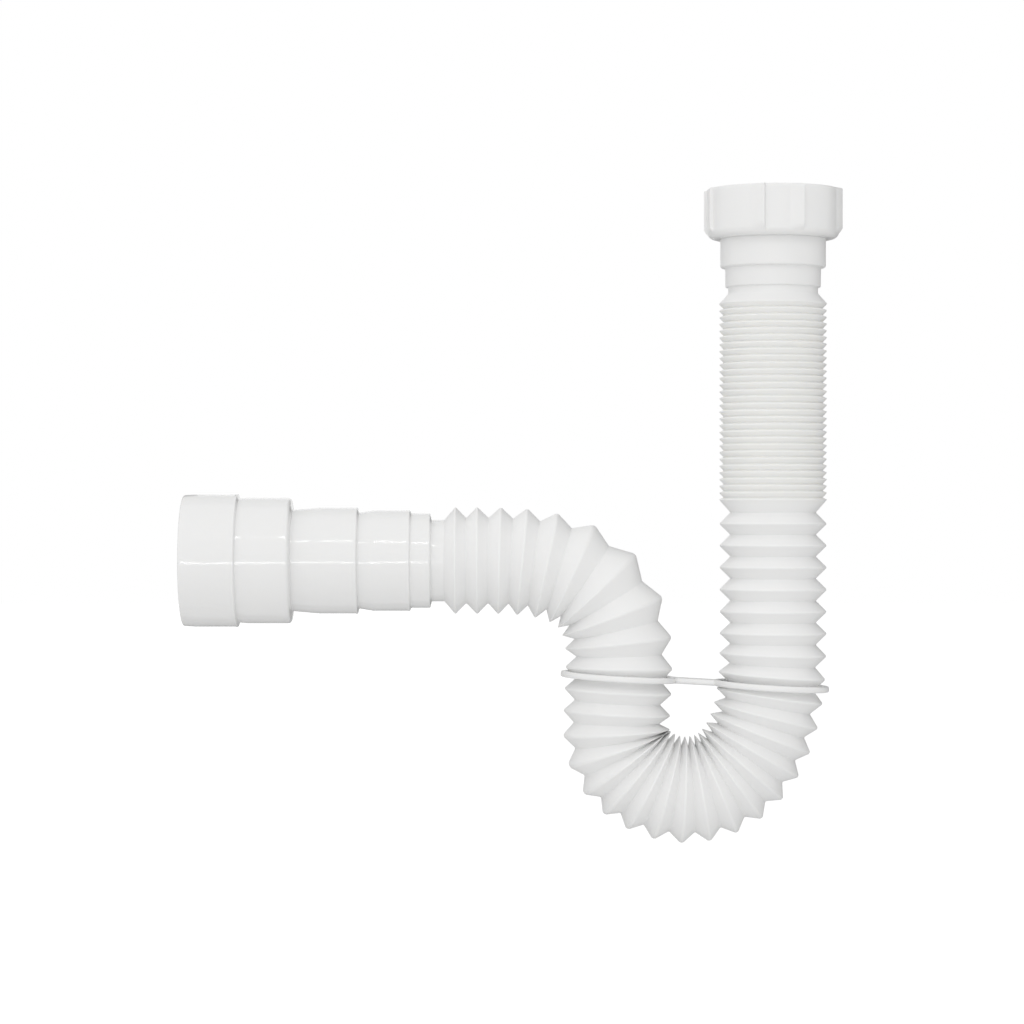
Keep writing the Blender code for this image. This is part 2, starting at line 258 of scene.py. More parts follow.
# The flat card below them
LOW_CARD_SIDES = (-2.8, 2.7)
LOW_CARD_REACH = (0.08, 3.0)
LOW_CARD_HEIGHT = -0.35
LOW_CARD_GREY = 0.30

# Strip lamps in front of the object: place, target, length and width, and share of the strip power
STRIP_LAMPS = (
    ("low_strip", (-0.17, -1.5, -0.235), (-0.17, 0.0, -0.143), (1.6, 0.04), 1.1),
    ("high_strip", (0.115, -1.15, 0.95), (0.115, 0.0, -0.143), (0.79, 0.03), 0.7),
)

# Soft light of the surroundings: how it leans, and where and how much it dims
LIGHT_LEAN = (-0.14, -0.14, 0.16)
DIM_SIDE = (0.72, 0.68, -0.12)
DIM_POWER = 3.0
DIM_DEPTH = 0.3

# Floor: its grey, and the glow that lifts it to white for the camera
FLOOR_GREY = 0.86
FLOOR_GLOW = 0.34

# Depths below the nut's top rim that follow from the sizes above
LIP_TOP_DEPTH = NUT_HEIGHT - NUT_LIP_THICKNESS
FLANGE_FOOT_DEPTH = LIP_TOP_DEPTH - SEAT_GAP
FLANGE_TOP_DEPTH = FLANGE_FOOT_DEPTH - FLANGE_THICKNESS
WASHER_FOOT_DEPTH = FLANGE_TOP_DEPTH - SEAT_GAP
WASHER_TOP_DEPTH = WASHER_FOOT_DEPTH - WASHER_THICKNESS
COLLAR_FOOT_DEPTH = NUT_HEIGHT + COLLAR_DROP
NECK_FOOT_DEPTH = COLLAR_FOOT_DEPTH + NECK_LENGTH
WAIST_FOOT_DEPTH = NECK_FOOT_DEPTH + WAIST_LENGTH
NESTED_TOP_DEPTH = WAIST_FOOT_DEPTH + NESTED_LEAD
NESTED_FOOT_DEPTH = NESTED_TOP_DEPTH + (NESTED_PLEATS - 1) * NESTED_PITCH
FIRST_VALLEY_DEPTH = NESTED_FOOT_DEPTH + NESTED_TAIL
OPEN_TOP_DEPTH = FIRST_VALLEY_DEPTH + OPEN_LEAD

# Radii that follow from the thread
NUT_RADIUS = NUT_THREAD_RADIUS + NUT_WALL
FLANGE_RADIUS = NUT_THREAD_RADIUS - SEAT_GAP
COLLAR_RADIUS = FLANGE_RADIUS - FLANGE_LEDGE
NECK_RADIUS = COLLAR_RADIUS - NECK_STEP
WAIST_RADIUS = NECK_RADIUS - WAIST_STEP


class HoseSizes(bpy.types.PropertyGroup):
    """Sizes and colours of the pleated hose."""

    crest_radius: FloatProperty(
        name="Crest radius", description="From the hose's axis to the tip of a pleat",
        default=0.0206, min=0.005, unit="LENGTH")
    pleat_depth: FloatProperty(
        name="Pleat depth", description="From the tip of a pleat to the valley beside it",
        default=0.0041, min=0.0005, unit="LENGTH")
    pleat_wall: FloatProperty(
        name="Pleat wall", description="Thickness of the blown wall",
        default=0.0009, min=0.0002, unit="LENGTH")
    around: IntProperty(
        name="Facets around", description="How many facets go once round the hose",
        default=96, min=12)
    # Painted light: the open pleats' white is lighter than the cuff's, standing in for light that the thin
    # wall lets through and that fills the pleats
    colour: FloatVectorProperty(
        name="Colour", description="The white of the hose's lit side",
        subtype="COLOR", size=3, default=(0.865, 0.865, 0.86))
    # The cuff and inlet neck keep the plain white, without painted light
    cuff_colour: FloatVectorProperty(
        name="Cuff colour", description="The white of the thicker outlet cuff and inlet neck",
        subtype="COLOR", size=3, default=(0.84, 0.84, 0.835))
    # Painted shade: a darker, warmer white where the pleats are pushed shut, standing in for the shade
    # between them
    nested_shade_colour: FloatVectorProperty(
        name="Nested colour", description="The slightly warmer white where the pleats are pushed shut",
        subtype="COLOR", size=3, default=(0.842, 0.842, 0.826))
    # Painted fill light: a lighter white that lifts the shade between the pleats bunched inside the U
    bunched_fill_light_colour: FloatVectorProperty(
        name="Bunched colour", description="The lighter white of the thin walls that bunch inside the U",
        subtype="COLOR", size=3, default=(0.965, 0.965, 0.96))
    pleat_roughness: FloatProperty(
        name="Pleat roughness", description="Roughness of the blown pleats",
        subtype="FACTOR", default=0.42, min=0.0, max=1.0)
    cuff_roughness: FloatProperty(
        name="Cuff roughness", description="Roughness of the polished outlet cuff",
        subtype="FACTOR", default=0.09, min=0.0, max=1.0)


class NutSizes(bpy.types.PropertyGroup):
    """Sizes and colour of the coupling nut."""

    rib_height: FloatProperty(
        name="Rib height", description="How far a grip rib's step stands out from the nut",
        default=0.0014, min=0.0, unit="LENGTH")
    around: IntProperty(
        name="Facets around", description="How many facets go once round the nut",
        default=432, min=48)
    colour: FloatVectorProperty(
        name="Colour", description="The white of the nut's lit side",
        subtype="COLOR", size=3, default=(0.845, 0.845, 0.84))
    roughness: FloatProperty(
        name="Roughness", description="Roughness of the moulded nut",
        subtype="FACTOR", default=0.30, min=0.0, max=1.0)


class WasherSizes(bpy.types.PropertyGroup):
    """Facets and colour of the sealing washer."""

    around: IntProperty(
        name="Facets around", description="How many facets go once round the washer",
        default=144, min=24)
    colour: FloatVectorProperty(
        name="Colour", description="The dark grey of the rubber",
        subtype="COLOR", size=3, default=(0.035, 0.035, 0.037))
    roughness: FloatProperty(
        name="Roughness", description="Roughness of the rubber",
        subtype="FACTOR", default=0.62, min=0.0, max=1.0)


class ClipSizes(bpy.types.PropertyGroup):
    """Sizes and colour of the U-bend clip."""

    thickness: FloatProperty(
        name="Thickness", description="Thickness of the flat clip",
        default=0.0023, min=0.0005, unit="LENGTH")
    edge_round: FloatProperty(
        name="Edge round", description="Rounding of the clip's edges",
        default=0.0007, min=0.0, unit="LENGTH")
    arc_steps: IntProperty(
        name="Facets around", description="How many facets go once round each ring",
        default=120, min=24)
    colour: FloatVectorProperty(
        name="Colour", description="The white of the clip's lit side",
        subtype="COLOR", size=3, default=(0.85, 0.85, 0.845))
    roughness: FloatProperty(
        name="Roughness", description="Roughness of the moulded clip",
        subtype="FACTOR", default=0.34, min=0.0, max=1.0)


class StageSettings(bpy.types.PropertyGroup):
    """Floor, light and camera."""

    floor_drop: FloatProperty(
        name="Floor drop", description="How far the floor lies below the hanging trap",
        default=0.11, min=0.0, unit="LENGTH")
    floor_size: FloatProperty(
        name="Floor size", description="Width of the square floor",
        default=14.0, min=1.0, unit="LENGTH")
    ambient: FloatProperty(
        name="Ambient light", description="Strength of the white surroundings on the object",
        default=0.76, min=0.0)
    strip_power: FloatProperty(
        name="Strip power", description="Power of each strip lamp in front of the object",
        default=2.0, min=0.0, unit="POWER")
    lens: FloatProperty(
        name="Lens", description="Focal length of the camera in millimetres",
        default=112.0, min=10.0)


# Route of the hose

def between(value, stations):
    """Read a list of (position, amount) stations, straight between them."""
    if value <= stations[0][0]:
        return stations[0][1]
    for (start, low), (end, high) in zip(stations, stations[1:]):
        if value <= end:
            return low + (high - low) * (value - start) / (end - start)
    return stations[-1][1]


def hose_route():
    """Walk the centre line: (distance, x, z, heading), from the first open crest to the cuff."""
    step = 1.0 / ROUTE_STEPS_PER_PLEAT
    pleat = 1.0
    distance = OPEN_TOP_DEPTH
    x = 0.0
    z = -OPEN_TOP_DEPTH
    heading = 0.0
    stops = [(distance, x, z, heading)]
    last_pleat = OPEN_PLEATS + 0.5
    for _ in range(round((last_pleat - 1.0) * ROUTE_STEPS_PER_PLEAT)):
        middle = pleat + 0.5 * step
        travel = between(middle, PLEAT_PITCHES) * step
        turn = between(middle, PLEAT_TURNS) * step
        along = math.radians(heading + 0.5 * turn)
        x -= math.sin(along) * travel
        z -= math.cos(along) * travel
        heading += turn
        pleat += step
        distance += travel
        stops.append((distance, x, z, heading))
    return stops


ROUTE = hose_route()
CUFF_START = ROUTE[-1][0]
CUFF_LENGTH = CUFF_NECK_LENGTH + CUFF_SHOULDER_LENGTH + sum(step[1] for step in CUFF_STEPS)


def route_stop(pleat):
    """The stop on the centre line at a pleat number."""
    return ROUTE[round((pleat - 1.0) * ROUTE_STEPS_PER_PLEAT)]


def distances_at(pleats):
    """How far along the hose some pleat numbers are."""
    return [route_stop(pleat)[0] for pleat in pleats]


# Shapes

def rounded_line(corners):
    """Points of a closed line through (radius, height, fillet, steps) corners, each with its fillet."""
    points = []
    count = len(corners)
    for i, (radius, height, fillet, steps) in enumerate(corners):
        corner = Vector((radius, height))
        if fillet <= 0.0:
            points.append(corner)
            continue
        before = Vector(corners[i - 1][:2]) - corner
        after = Vector(corners[(i + 1) % count][:2]) - corner
        half = 0.5 * before.angle(after)
        if half > math.radians(NEARLY_STRAIGHT_DEG):
            points.append(corner)
            continue
        setback = min(fillet / math.tan(half), LONGEST_SETBACK * min(before.length, after.length))
        bisector = (before.normalized() + after.normalized()).normalized()
        centre = corner + bisector * (setback / math.cos(half))
        first = corner + before.normalized() * setback - centre
        last = corner + after.normalized() * setback - centre
        swing = first.angle_signed(last)
        for k in range(steps + 1):
            arm = first.copy()
            arm.rotate(Matrix.Rotation(-swing * k / steps, 2))
            points.append(centre + arm)
    return points


def turned_shape(points, steps):
    """A closed (radius, height) line spun once round the Z axis, as a bmesh."""
    shape = bmesh.new()
    corners = [shape.verts.new((point.x, 0.0, point.y)) for point in points]
    for first, second in zip(corners, corners[1:] + corners[:1]):
        shape.edges.new((first, second))
    bmesh.ops.spin(shape, geom=shape.verts[:] + shape.edges[:], cent=(0.0, 0.0, 0.0),
                   axis=(0.0, 0.0, 1.0), angle=math.tau, steps=steps, use_merge=True)
    bmesh.ops.remove_doubles(shape, verts=shape.verts, dist=MERGE_DISTANCE)
    bmesh.ops.recalc_face_normals(shape, faces=shape.faces)
    return shape


def finished_piece(name, shape, material):
    """The bmesh as an object of the scene, smooth apart from its sharp edges."""
    mesh = bpy.data.meshes.new(name)
    shape.to_mesh(mesh)
    shape.free()
    mesh.materials.append(material)
    mesh.shade_smooth()
    mesh.set_sharp_from_angle(angle=math.radians(SHARP_EDGE_DEG))
    piece = bpy.data.objects.new(name, mesh)
    bpy.context.scene.collection.objects.link(piece)
    return piece


# Finishes

def group_with(name, inputs, outputs):
    """An empty shader node group with its sockets: returns the group and its two end nodes."""
    group = bpy.data.node_groups.new(name, "ShaderNodeTree")
    for label, kind in inputs:
        group.interface.new_socket(label, in_out="INPUT", socket_type=kind)
    for label, kind in outputs:
        group.interface.new_socket(label, in_out="OUTPUT", socket_type=kind)
    return group, group.nodes.new("NodeGroupInput"), group.nodes.new("NodeGroupOutput")


def math_node(tree, operation, first, second, clamp=False):
    """A Math node; each input is a socket or a number."""
    node = tree.nodes.new("ShaderNodeMath")
    node.operation = operation
    node.use_clamp = clamp
    for socket, value in zip(node.inputs, (first, second)):
        if isinstance(value, (int, float)):
            socket.default_value = value
        else:
            tree.links.new(value, socket)
    return node.outputs[0]


def noise_node(tree, place, scale, detail=2.0, roughness=0.5):
    """A Noise texture read at a place; scale is a number or a socket."""
    node = tree.nodes.new("ShaderNodeTexNoise")
    node.inputs["Detail"].default_value = detail
    node.inputs["Roughness"].default_value = roughness
    tree.links.new(place, node.inputs["Vector"])
    if isinstance(scale, (int, float)):
        node.inputs["Scale"].default_value = scale
    else:
        tree.links.new(scale, node.inputs["Scale"])
    return node.outputs[0]


def moulded_skin_group():
    """Skin of moulded plastic: a fine orange peel, slow waves of the wall, and patches of gloss."""
    existing = bpy.data.node_groups.get("moulded_skin")
    if existing:
        return existing
    group, inputs, outputs = group_with(
        "moulded_skin",
        (("Place", "NodeSocketVector"), ("Peel Scale", "NodeSocketFloat"),
         ("Wave Scale", "NodeSocketFloat"), ("Peel Share", "NodeSocketFloat")),
        (("Height", "NodeSocketFloat"), ("Gloss", "NodeSocketFloat"), ("Tone", "NodeSocketFloat")))
    place = inputs.outputs["Place"]
    peel = noise_node(group, place, inputs.outputs["Peel Scale"])
    wave = noise_node(group, place, inputs.outputs["Wave Scale"], detail=1.0)
    peel_part = math_node(group, "MULTIPLY", peel, inputs.outputs["Peel Share"])
    height = math_node(group, "ADD", wave, peel_part)
    patches = noise_node(group, place, GLOSS_PATCH_SCALE, detail=3.0, roughness=0.6)
    cloud = noise_node(group, place, TONE_CLOUD_SCALE)
    group.links.new(height, outputs.inputs["Height"])
    group.links.new(patches, outputs.inputs["Gloss"])
    group.links.new(cloud, outputs.inputs["Tone"])
    return group


def parting_line_group():
    """Height of the fine ridge that the two halves of a mould leave on both sides of the hose."""
    existing = bpy.data.node_groups.get("parting_line")
    if existing:
        return existing
    group, inputs, outputs = group_with(
        "parting_line",
        (("Place", "NodeSocketVector"), ("Width", "NodeSocketFloat")),
        (("Ridge", "NodeSocketFloat"),))
    apart = group.nodes.new("ShaderNodeSeparateXYZ")
    group.links.new(inputs.outputs["Place"], apart.inputs[0])
    aside = math_node(group, "ABSOLUTE", apart.outputs["X"], 0.0)
    share = math_node(group, "DIVIDE", aside, inputs.outputs["Width"], clamp=True)
    ridge = math_node(group, "SUBTRACT", 1.0, share)
    group.links.new(ridge, outputs.inputs["Ridge"])
    return group


def placed_group(tree, group, place, **values):
    """A node group in a material: reads its place, and has its other inputs set by name."""
    node = tree.nodes.new("ShaderNodeGroup")
    node.node_tree = group
    tree.links.new(place, node.inputs["Place"])
    for label, value in values.items():
        node.inputs[label.replace("_", " ").title()].default_value = value
    return node


def mixed_colour(tree, share, first, second):
    """Colour between two colours, each a socket or three numbers, by a share from 0 to 1."""
    node = tree.nodes.new("ShaderNodeMix")
    node.data_type = "RGBA"
    tree.links.new(share, node.inputs[0])
    for socket, value in zip(node.inputs[6:8], (first, second)):
        if isinstance(value, bpy.types.NodeSocket):
            tree.links.new(value, socket)
        else:
            socket.default_value = (*value, 1.0)
    return node.outputs[2]


def shade_of(colour, factor):
    """A colour made lighter or darker by a factor."""
    return tuple(channel * factor for channel in colour)


def ranged(tree, value, low, high, to_low=0.0, to_high=1.0):
    """A value mapped from one range to another, held at the ends."""
    node = tree.nodes.new("ShaderNodeMapRange")
    tree.links.new(value, node.inputs["Value"])
    node.inputs["From Min"].default_value = low
    node.inputs["From Max"].default_value = high
    node.inputs["To Min"].default_value = to_low
    node.inputs["To Max"].default_value = to_high
    return node.outputs[0]


def bumped(tree, height, distance, strength):
    """Normal that a height gives to the surface."""
    node = tree.nodes.new("ShaderNodeBump")
    node.inputs["Strength"].default_value = strength
    node.inputs["Distance"].default_value = distance
    tree.links.new(height, node.inputs["Height"])
    return node.outputs[0]


def plastic(name, scatter):
    """A new Principled material for milky plastic: returns it, its tree and its shader."""
    material = bpy.data.materials.new(name)
    material.use_nodes = True
    tree = material.node_tree
    shader = tree.nodes["Principled BSDF"]
    shader.inputs["IOR"].default_value = PLASTIC_IOR
    shader.inputs["Subsurface Radius"].default_value = SCATTER_TINT
    weight, depth = scatter
    shader.inputs["Subsurface Weight"].default_value = weight
    shader.inputs["Subsurface Scale"].default_value = depth
    return material, tree, shader


def hose_plastic(sizes):
    """White blown plastic: satin pleats and a polished cuff, with painted light and shade in the colour:
    lighter on the open pleats, lighter still where they bunch inside the U, darker and warmer where the
    pleats are shut.
    """
    material, tree, shader = plastic("white_hose_plastic", PLEAT_SCATTER)
    attribute = tree.nodes.new("ShaderNodeAttribute")
    attribute.attribute_name = STRAIGHT_PLACE
    place = attribute.outputs["Vector"]
    skin = placed_group(tree, moulded_skin_group(), place,
                        peel_scale=2600.0, wave_scale=210.0, peel_share=0.12)
    seam = placed_group(tree, parting_line_group(), place, width=0.00035)
    apart = tree.nodes.new("ShaderNodeSeparateXYZ")
    tree.links.new(place, apart.inputs[0])
    depth = math_node(tree, "MULTIPLY", apart.outputs["Z"], -1.0)
    on_cuff = ranged(tree, depth, CUFF_START - 0.0010, CUFF_START + 0.0010)
    above = ranged(tree, depth, NESTED_TOP_DEPTH - 0.0005, NESTED_TOP_DEPTH + 0.0010)
    below = ranged(tree, depth, NESTED_FOOT_DEPTH - 0.0010, NESTED_FOOT_DEPTH + 0.0020)
    nested = math_node(tree, "SUBTRACT", above, below, clamp=True)
    tone = ranged(tree, skin.outputs["Tone"], *TONE_RANGE)
    # Painted light: the open pleats get a lighter white than the cuff and inlet neck, standing in for
    # light through the thin wall
    plain_white_ends = math_node(tree, "ADD", on_cuff, math_node(tree, "SUBTRACT", 1.0, above), clamp=True)
    pleats = mixed_colour(tree, tone, shade_of(sizes.colour, TONE_DIP), tuple(sizes.colour))
    ends = mixed_colour(tree, plain_white_ends, pleats, tuple(sizes.cuff_colour))
    # Painted shade: the shut pleats get the darker, warmer white
    ends = mixed_colour(tree, nested, ends, tuple(sizes.nested_shade_colour))
    # Painted fill light: the pleats bunched inside the U get a lighter white that lifts the shade between
    # them
    inside = ranged(tree, apart.outputs["X"], *FILL_LIGHT_ACROSS)
    entered = ranged(tree, depth, *distances_at(FILL_LIGHT_START_PLEATS))
    left = ranged(tree, depth, *distances_at(FILL_LIGHT_END_PLEATS))
    painted_fill_light = math_node(tree, "MULTIPLY", inside, math_node(tree, "SUBTRACT", entered, left))
    colour = mixed_colour(tree, painted_fill_light, ends, tuple(sizes.bunched_fill_light_colour))
    tree.links.new(colour, shader.inputs["Base Color"])
    for label, open_amount, nested_amount in zip(("Weight", "Scale"), PLEAT_SCATTER, NESTED_SCATTER):
        amount = ranged(tree, nested, 0.0, 1.0, open_amount, nested_amount)
        tree.links.new(amount, shader.inputs["Subsurface " + label])
    satin = ranged(tree, on_cuff, 0.0, 1.0, sizes.pleat_roughness, sizes.cuff_roughness)
    patch = ranged(tree, skin.outputs["Gloss"], 0.3, 0.7, -0.02, 0.03)
    tree.links.new(math_node(tree, "ADD", satin, patch), shader.inputs["Roughness"])
    ridge = math_node(tree, "MULTIPLY", seam.outputs["Ridge"], SEAM_HEIGHT)
    height = math_node(tree, "ADD", skin.outputs["Height"], ridge)
    tree.links.new(bumped(tree, height, 0.00010, 0.7), shader.inputs["Normal"])
    return material


def moulded_plastic(name, sizes, peel_scale, wave_scale, bump):
    """White injection-moulded plastic in one colour with its skin."""
    material, tree, shader = plastic(name, MOULDED_SCATTER)
    place = tree.nodes.new("ShaderNodeTexCoord").outputs["Object"]
    skin = placed_group(tree, moulded_skin_group(), place,
                        peel_scale=peel_scale, wave_scale=wave_scale, peel_share=0.15)
    tone = ranged(tree, skin.outputs["Tone"], *TONE_RANGE)
    tree.links.new(mixed_colour(tree, tone, shade_of(sizes.colour, TONE_DIP), tuple(sizes.colour)),
                   shader.inputs["Base Color"])
    rough = ranged(tree, skin.outputs["Gloss"], 0.3, 0.7, sizes.roughness - 0.015, sizes.roughness + 0.02)
    tree.links.new(rough, shader.inputs["Roughness"])
    tree.links.new(bumped(tree, skin.outputs["Height"], bump, 0.7), shader.inputs["Normal"])
    return material


def washer_rubber(sizes):
    """Matte dark rubber with a fine grain and a faint bloom."""
    material = bpy.data.materials.new("washer_rubber")
    material.use_nodes = True
    tree = material.node_tree
    shader = tree.nodes["Principled BSDF"]
    shader.inputs["IOR"].default_value = RUBBER_IOR
    place = tree.nodes.new("ShaderNodeTexCoord").outputs["Object"]
    skin = placed_group(tree, moulded_skin_group(), place,
                        peel_scale=5200.0, wave_scale=420.0, peel_share=0.6)
    bloom = ranged(tree, skin.outputs["Gloss"], 0.45, 0.7)
    tree.links.new(mixed_colour(tree, bloom, tuple(sizes.colour), shade_of(sizes.colour, 1.7)),
                   shader.inputs["Base Color"])
    rough = ranged(tree, skin.outputs["Tone"], 0.3, 0.7, sizes.roughness - 0.06, sizes.roughness + 0.08)
    tree.links.new(rough, shader.inputs["Roughness"])
    tree.links.new(bumped(tree, skin.outputs["Height"], 0.00008, 0.8), shader.inputs["Normal"])
    return material


# Hose

def inlet_corners():
    """Outer side of the flange, collar, neck and waist, down to the flare above the nested pleats."""
    taper = NECK_RADIUS - NECK_TAPER
    return [
        (FLANGE_RADIUS, -FLANGE_TOP_DEPTH, SMALL_FILLET, 2),
        (FLANGE_RADIUS, -FLANGE_FOOT_DEPTH, 0.5 * SMALL_FILLET, 1),
        (COLLAR_RADIUS, -FLANGE_FOOT_DEPTH, 0.0, 1),
        (COLLAR_RADIUS, -COLLAR_FOOT_DEPTH, COLLAR_ROUND, 5),
        (NECK_RADIUS, -COLLAR_FOOT_DEPTH, SMALL_FILLET, 3),
        (taper, -NECK_FOOT_DEPTH, SMALL_FILLET, 3),
        (WAIST_RADIUS, -NECK_FOOT_DEPTH, SMALL_FILLET, 3),
        (WAIST_RADIUS, -WAIST_FOOT_DEPTH, 3.0 * SMALL_FILLET, 4),
    ]


def nested_corners(sizes):
    """Outer side of the nested pleats: each crest overhangs the notch above the next."""
    corners = []
    tip = sizes.crest_radius + NESTED_STANDOUT
    for pleat in range(NESTED_PLEATS):
        crest = NESTED_TOP_DEPTH + pleat * NESTED_PITCH
        corners.append((tip, -crest, NESTED_TIP_ROUND, 3))
        if pleat < NESTED_PLEATS - 1:
            notch = crest + NESTED_NOTCH_PLACE * NESTED_PITCH
            corners.append((tip - NESTED_NOTCH, -notch, NESTED_NOTCH_ROUND, 2))
    return corners


def open_corners(crest_radius, valley_radius, inside=False):
    """Crests and valleys of the open pleats, with their rounds."""
    corners = [(valley_radius, -FIRST_VALLEY_DEPTH, VALLEY_ROUND, 2)]
    for pleat in range(1, OPEN_PLEATS + 1):
        place = route_stop(pleat)[0]
        pitch = between(pleat, PLEAT_PITCHES)
        depth = crest_radius - valley_radius
        crest_round = between(pleat, CREST_ROUNDS)
        half = math.atan2(0.5 * pitch, depth)
        tip = crest_radius + crest_round * (1.0 / math.sin(half) - 1.0)
        if inside:
            corners.append((crest_radius, -place, 0.5 * crest_round, 2))
        else:
            corners.append((tip, -place, crest_round, 6))
        if pleat < OPEN_PLEATS:
            corners.append((valley_radius, -route_stop(pleat + 0.5)[0], VALLEY_ROUND, 2))
    return corners


def cuff_corners():
    """Outer side of the outlet cuff: neck, shoulder and four steps with their lead-ins and lips."""
    place = CUFF_START
    corners = [(CUFF_NECK_RADIUS, -place, SMALL_FILLET, 2)]
    place += CUFF_NECK_LENGTH
    corners.append((CUFF_NECK_RADIUS, CUFF_STEP_SLANT - place, SMALL_FILLET, 2))
    corners.append((CUFF_SHOULDER_RADIUS, -place, SMALL_FILLET, 3))
    corners.append((CUFF_SHOULDER_RADIUS, -place - 2.0 * CUFF_FLAT_MARGIN, 0.0, 1))
    place += CUFF_SHOULDER_LENGTH
    corners.append((CUFF_SHOULDER_RADIUS, CUFF_STEP_SLANT + CUFF_FLAT_MARGIN - place, 0.0, 1))
    corners.append((CUFF_SHOULDER_RADIUS, CUFF_STEP_SLANT - place, SMALL_FILLET, 2))
    for radius, length, lead, lead_length, corner_round, lip in CUFF_STEPS:
        corners.append((radius + lip, -place, corner_round, 4))
        flat = place + max(CUFF_LIP_LENGTH, 2.0 * corner_round)
        if lip > 0.0:
            corners.append((radius, -flat, 2.0 * SMALL_FILLET, 2))
        corners.append((radius, -flat - CUFF_FLAT_MARGIN, 0.0, 1))
        place += length
        corners.append((radius, lead_length + CUFF_FLAT_MARGIN - place, 0.0, 1))
        corners.append((radius, lead_length - place, 0.0, 1))
        corners.append((radius - lead, CUFF_STEP_SLANT - place, SMALL_FILLET, 2))
    radius = corners.pop()[0]
    corners.append((radius, -place, CUFF_RIM_ROUND, 4))
    return corners


def cuff_bore_corners():
    """Bore of the outlet cuff from its neck to its mouth: each step is seen again from inside."""
    sections = [
        (CUFF_NECK_RADIUS, CUFF_NECK_LENGTH, 0.0),
        (CUFF_SHOULDER_RADIUS, CUFF_SHOULDER_LENGTH, 0.0),
    ]
    sections += [(step[0], step[1], step[2]) for step in CUFF_STEPS]
    place = CUFF_START
    start = place
    corners = []
    for radius, length, lead in sections:
        inside = radius - lead - CUFF_WALL
        place += length
        corners.append((inside, -start, SMALL_FILLET, 2))
        start = place + CUFF_WALL
        corners.append((inside, -start, SMALL_FILLET, 2))
    mouth_radius = corners.pop()[0]
    corners.append((mouth_radius, -place, CUFF_RIM_ROUND, 3))
    return corners


def inner_corners(sizes):
    """Bore of the inlet end and of the nested pleats."""
    collar_bore = COLLAR_RADIUS - INLET_WALL
    neck_bore = NECK_RADIUS - NECK_TAPER - INLET_WALL
    waist_bore = WAIST_RADIUS - INLET_WALL
    bore_radius = sizes.crest_radius - sizes.pleat_depth - sizes.pleat_wall
    corners = [
        (collar_bore, -FLANGE_TOP_DEPTH, 0.5 * SMALL_FILLET, 2),
        (collar_bore, INLET_WALL - COLLAR_FOOT_DEPTH, SMALL_FILLET, 3),
        (neck_bore, INLET_WALL - COLLAR_FOOT_DEPTH, SMALL_FILLET, 2),
        (neck_bore, INLET_WALL - NECK_FOOT_DEPTH, SMALL_FILLET, 2),
        (waist_bore, INLET_WALL - NECK_FOOT_DEPTH, SMALL_FILLET, 2),
    ]
    for pleat in range(NESTED_PLEATS - 1):
        crest = NESTED_TOP_DEPTH + pleat * NESTED_PITCH
        corners.append((bore_radius, -crest, 0.0, 1))
        corners.append((bore_radius + NESTED_INNER_WAVE, -crest - 0.5 * NESTED_PITCH, 0.0, 1))
    corners.append((bore_radius, -NESTED_FOOT_DEPTH, 0.0, 1))
    return corners


def hose_corners(sizes):
    """The hose's whole wall as one closed loop: down its outer side, then back up its bore."""
    crest = sizes.crest_radius
    valley = crest - sizes.pleat_depth
    wall = sizes.pleat_wall
    outer = inlet_corners() + nested_corners(sizes) + open_corners(crest, valley) + cuff_corners()
    bore = inner_corners(sizes) + open_corners(crest - wall, valley - wall, inside=True)
    bore += cuff_bore_corners()
    return outer + bore[::-1]


def route_guide():
    """The hose's centre line as a curve, from the nut's rim to the outlet mouth."""
    _, x, z, heading = ROUTE[-1]
    along = math.radians(heading)
    mouth = (x - math.sin(along) * CUFF_LENGTH, z - math.cos(along) * CUFF_LENGTH)
    stations = [(0.0, 0.0)] + [(stop[1], stop[2]) for stop in ROUTE] + [mouth]
    curve = bpy.data.curves.new("hose_route", "CURVE")
    curve.dimensions = "3D"
    curve.twist_mode = "MINIMUM"
    spline = curve.splines.new("POLY")
    spline.points.add(len(stations) - 1)
    for point, (across, height) in zip(spline.points, stations):
        point.co = (across, 0.0, height, 1.0)
    guide = bpy.data.objects.new("hose_route", curve)
    bpy.context.scene.collection.objects.link(guide)
    return guide


def bent_along_route(piece):
    """Bend the straight hose along its route and keep the result as its mesh."""
    guide = route_guide()
    bend = piece.modifiers.new("bend", "CURVE")
    bend.object = guide
    bend.deform_axis = "NEG_Z"
    bpy.context.view_layer.update()
    graph = bpy.context.evaluated_depsgraph_get()
    straight = piece.data
    bent = bpy.data.meshes.new_from_object(
        piece.evaluated_get(graph), preserve_all_data_layers=True, depsgraph=graph)
    piece.modifiers.clear()
    piece.data = bent
    bent.name = piece.name
    bpy.data.meshes.remove(straight)
    bpy.data.objects.remove(guide, do_unlink=True)


class SINKTRAP_OT_hose(bpy.types.Operator):
    """Model the pleated hose and bend it along its route"""

    bl_idname = "sinktrap.hose"
    bl_label = "Pleated Hose"

    def execute(self, context):
        sizes = context.scene.sinktrap_hose
        shape = turned_shape(rounded_line(hose_corners(sizes)), sizes.around)
        kept = shape.verts.layers.float_vector.new(STRAIGHT_PLACE)
        for vertex in shape.verts:
            vertex[kept] = vertex.co
        hose = finished_piece(HOSE_NAME, shape, hose_plastic(sizes))
        bent_along_route(hose)
        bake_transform(hose)
        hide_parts("corrugated_hose")
        return {"FINISHED"}


# Nut

def wall_rings():
    """Heights of the rings on the nut's plain wall, down to where the ribs begin to fade."""
    return [(RIB_END_FADE - RIB_LENGTH) * k / NUT_WALL_RINGS for k in range(1, NUT_WALL_RINGS + 1)]


def foot_rings():
    """The nut's rounded foot, from its wall in to its flat underside."""
    rings = []
    for k in range(NUT_FOOT_STEPS + 1):
        angle = 0.5 * math.pi * k / NUT_FOOT_STEPS
        rings.append((NUT_RADIUS - NUT_FOOT_ROUND * (1.0 - math.cos(angle)),
                      NUT_FOOT_ROUND * (1.0 - math.sin(angle)) - NUT_HEIGHT, 0.0, 1))
    return rings


